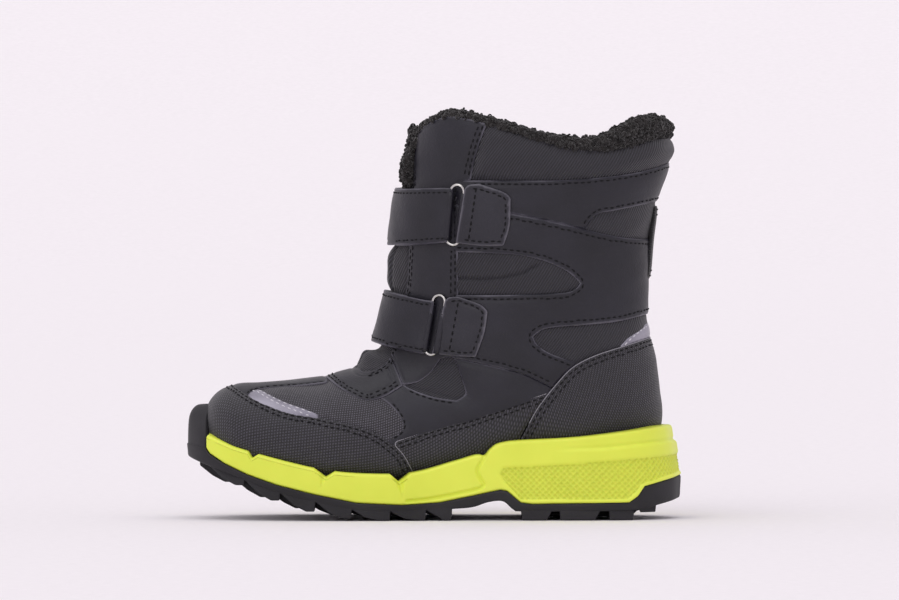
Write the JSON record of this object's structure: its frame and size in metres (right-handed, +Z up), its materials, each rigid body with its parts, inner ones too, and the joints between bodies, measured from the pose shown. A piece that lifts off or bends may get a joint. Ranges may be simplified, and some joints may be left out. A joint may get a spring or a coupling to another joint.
{
  "type": "child's winter boot",
  "caption": "Right winter hiking boot with a lugged outsole, cupped midsole, panelled upper, pile lining, and hook-and-loop straps through wire rings.",
  "frame": {"origin": "on the ground, under the middle of the boot's bounding box", "axes": "+X towards the heel with the toe at -X, +Y towards the outer side of the foot, +Z up"},
  "size_m": [0.2196, 0.0842, 0.183],
  "materials": {
    "synthetic_leather": "black synthetic leather, fine grain",
    "coarse_canvas": "black coarse woven polyester",
    "twill": "black diagonal weave",
    "reflective_tape": "silver grey reflective tape",
    "pile_lining": "black curly pile",
    "lime_foam": "lime yellow moulded foam",
    "black_rubber": "black moulded rubber",
    "fibre_board": "buff fibre board, hidden",
    "nickel_wire": "nickel plated steel wire",
    "webbing": "black woven tape and hook and loop"
  },
  "bodies": {
    "boot": {"achilles_window": "twill", "ankle_window": "twill", "collar": "twill", "collar_pile": "pile_lining", "facing_lateral": "synthetic_leather", "facing_medial": "synthetic_leather", "footbed": "pile_lining", "heel_counter": "fibre_board", "heel_cover": "coarse_canvas", "heel_reflector": "reflective_tape", "insole_board": "fibre_board", "instep_window_lateral": "twill", "instep_window_medial": "twill", "lining_lateral": "pile_lining", "lining_medial": "pile_lining", "lining_vamp": "pile_lining", "lower_keeper": "synthetic_leather", "lower_loop_patch": "webbing", "lower_under_run": "synthetic_leather", "midsole": "lime_foam", "mudguard_lateral": "coarse_canvas", "mudguard_medial": "coarse_canvas", "outsole": "black_rubber", "pull_loop": "webbing", "quarter_band_lateral": "synthetic_leather", "quarter_band_medial": "synthetic_leather", "quarter_low_lateral": "synthetic_leather", "quarter_low_medial": "synthetic_leather", "quarter_side_lateral": "synthetic_leather", "quarter_side_medial": "synthetic_leather", "side_window_lateral": "twill", "side_window_medial": "twill", "throat_overlay": "synthetic_leather", "toe_cap": "coarse_canvas", "toe_puff": "fibre_board", "toe_reflector_lateral": "reflective_tape", "toe_reflector_medial": "reflective_tape", "tongue": "twill", "upper_keeper": "synthetic_leather", "upper_loop_patch": "webbing", "upper_under_run": "synthetic_leather", "vamp_saddle": "synthetic_leather", "vamp_side_lateral": "twill", "vamp_side_medial": "twill"},
    "upper_ring_body": {"upper_ring": "nickel_wire"},
    "upper_strap_body": {"upper_strap_span": "synthetic_leather"},
    "upper_end_body": {"upper_strap_end": "synthetic_leather", "upper_hook_patch": "webbing"},
    "lower_ring_body": {"lower_ring": "nickel_wire"},
    "lower_strap_body": {"lower_strap_span": "synthetic_leather"},
    "lower_end_body": {"lower_strap_end": "synthetic_leather", "lower_hook_patch": "webbing"},
    "tongue_top_body": {"tongue_top": "twill", "tongue_pile": "pile_lining"}
  },
  "joints": [
    {"name": "upper_ring_swing", "type": "hinge", "parent": "boot", "child": "upper_ring_body", "pos_m": [0.01202, -0.03582, 0.13461], "axis": [0.0952, -0.0638, 0.9934], "range_deg": [0, 30]},
    {"name": "upper_strap_open", "type": "hinge", "parent": "upper_ring_body", "child": "upper_strap_body", "pos_m": [0.0062, -0.03381, 0.1353], "axis": [0.0952, -0.0638, 0.9934], "range_deg": [0, 100]},
    {"name": "upper_end_peel", "type": "hinge", "parent": "upper_strap_body", "child": "upper_end_body", "pos_m": [-0.00185, 0.03193, 0.134], "axis": [0, -0.0215, 0.9998], "range_deg": [0, 80]},
    {"name": "lower_ring_swing", "type": "hinge", "parent": "boot", "child": "lower_ring_body", "pos_m": [0.00256, -0.02987, 0.08433], "axis": [0.1687, 0.0162, 0.9855], "range_deg": [0, 30]},
    {"name": "lower_strap_open", "type": "hinge", "parent": "lower_ring_body", "child": "lower_strap_body", "pos_m": [-0.0028, -0.02687, 0.0852], "axis": [0.1687, 0.0162, 0.9855], "range_deg": [0, 100]},
    {"name": "lower_end_peel", "type": "hinge", "parent": "lower_strap_body", "child": "lower_end_body", "pos_m": [-0.00185, 0.03119, 0.0825], "axis": [0, -0.0703, 0.9975], "range_deg": [0, 80]},
    {"name": "tongue_top_tilt", "type": "hinge", "parent": "boot", "child": "tongue_top_body", "pos_m": [-0.0144, 0, 0.1504], "axis": [0, -1, 0], "range_deg": [0, 30]}
  ]
}
